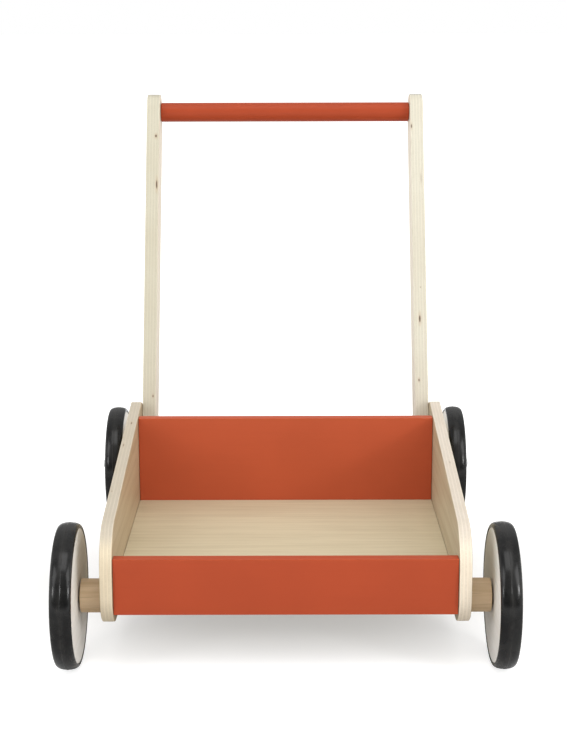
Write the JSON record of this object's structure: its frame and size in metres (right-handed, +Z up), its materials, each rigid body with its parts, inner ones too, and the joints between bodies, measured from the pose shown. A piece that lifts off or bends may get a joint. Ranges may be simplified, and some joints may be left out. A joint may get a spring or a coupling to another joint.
{
  "type": "push-along walker cart",
  "caption": "Toddler's wooden push-along walker: an open tray on rubber-tyred wheels that turn, with a round handle bar on two leaning plywood uprights.",
  "frame": {"origin": "on the ground, at the centre of the whole part's outline seen from above", "axes": "+X to the right as seen from the front, +Y from the low front board towards the handle, +Z up"},
  "size_m": [0.418, 0.5594, 0.4823],
  "materials": {
    "plywood": "clear satin lacquer on birch plywood",
    "red_paint": "satin brick red paint on wood",
    "floor_wood": "clear satin lacquer, grain from side to side",
    "dowel_wood": "bare turned hardwood",
    "wheel_wood": "bare sanded plywood",
    "rubber": "smooth satin black rubber",
    "nylon": "dark nylon",
    "zinc_steel": "bright zinc plating"
  },
  "bodies": {
    "frame": {"axle_cap_front_left": "zinc_steel", "axle_cap_front_right": "zinc_steel", "axle_cap_rear_left": "zinc_steel", "axle_cap_rear_right": "zinc_steel", "axle_spacer_front_left": "dowel_wood", "axle_spacer_front_right": "dowel_wood", "axle_spacer_rear_left": "dowel_wood", "axle_spacer_rear_right": "dowel_wood", "board_screw_floor_1_left": "zinc_steel", "board_screw_floor_1_right": "zinc_steel", "board_screw_floor_2_left": "zinc_steel", "board_screw_floor_2_right": "zinc_steel", "board_screw_front_1_left": "zinc_steel", "board_screw_front_1_right": "zinc_steel", "board_screw_front_2_left": "zinc_steel", "board_screw_front_2_right": "zinc_steel", "board_screw_rear_1_left": "zinc_steel", "board_screw_rear_1_right": "zinc_steel", "board_screw_rear_2_left": "zinc_steel", "board_screw_rear_2_right": "zinc_steel", "floor_board": "floor_wood", "front_axle_rod": "zinc_steel", "front_board": "red_paint", "handle_bar": "red_paint", "handle_screw_left": "zinc_steel", "handle_screw_right": "zinc_steel", "inner_washer_front_left": "nylon", "inner_washer_front_right": "nylon", "inner_washer_rear_left": "nylon", "inner_washer_rear_right": "nylon", "outer_washer_front_left": "zinc_steel", "outer_washer_front_right": "zinc_steel", "outer_washer_rear_left": "zinc_steel", "outer_washer_rear_right": "zinc_steel", "rear_axle_rod": "zinc_steel", "rear_board": "red_paint", "side_panel_left": "plywood", "side_panel_right": "plywood", "upright_bolt_1_left": "zinc_steel", "upright_bolt_1_right": "zinc_steel", "upright_bolt_2_left": "zinc_steel", "upright_bolt_2_right": "zinc_steel", "upright_left": "plywood", "upright_nut_1_left": "zinc_steel", "upright_nut_1_right": "zinc_steel", "upright_nut_2_left": "zinc_steel", "upright_nut_2_right": "zinc_steel", "upright_right": "plywood"},
    "wheel_front_left": {"wheel_disc_front_left": "wheel_wood", "tyre_front_left": "rubber", "wheel_bush_front_left": "nylon"},
    "wheel_front_right": {"wheel_disc_front_right": "wheel_wood", "tyre_front_right": "rubber", "wheel_bush_front_right": "nylon"},
    "wheel_rear_left": {"wheel_disc_rear_left": "wheel_wood", "tyre_rear_left": "rubber", "wheel_bush_rear_left": "nylon"},
    "wheel_rear_right": {"wheel_disc_rear_right": "wheel_wood", "tyre_rear_right": "rubber", "wheel_bush_rear_right": "nylon"}
  },
  "joints": [
    {"name": "wheel_front_left_spin", "type": "hinge", "parent": "frame", "child": "wheel_front_left", "pos_m": [-0.1915, -0.2147, 0.065], "axis": [1, 0, 0], "continuous": true},
    {"name": "wheel_front_right_spin", "type": "hinge", "parent": "frame", "child": "wheel_front_right", "pos_m": [0.1915, -0.2147, 0.065], "axis": [1, 0, 0], "continuous": true},
    {"name": "wheel_rear_left_spin", "type": "hinge", "parent": "frame", "child": "wheel_rear_left", "pos_m": [-0.1915, 0.2147, 0.065], "axis": [1, 0, 0], "continuous": true},
    {"name": "wheel_rear_right_spin", "type": "hinge", "parent": "frame", "child": "wheel_rear_right", "pos_m": [0.1915, 0.2147, 0.065], "axis": [1, 0, 0], "continuous": true}
  ]
}
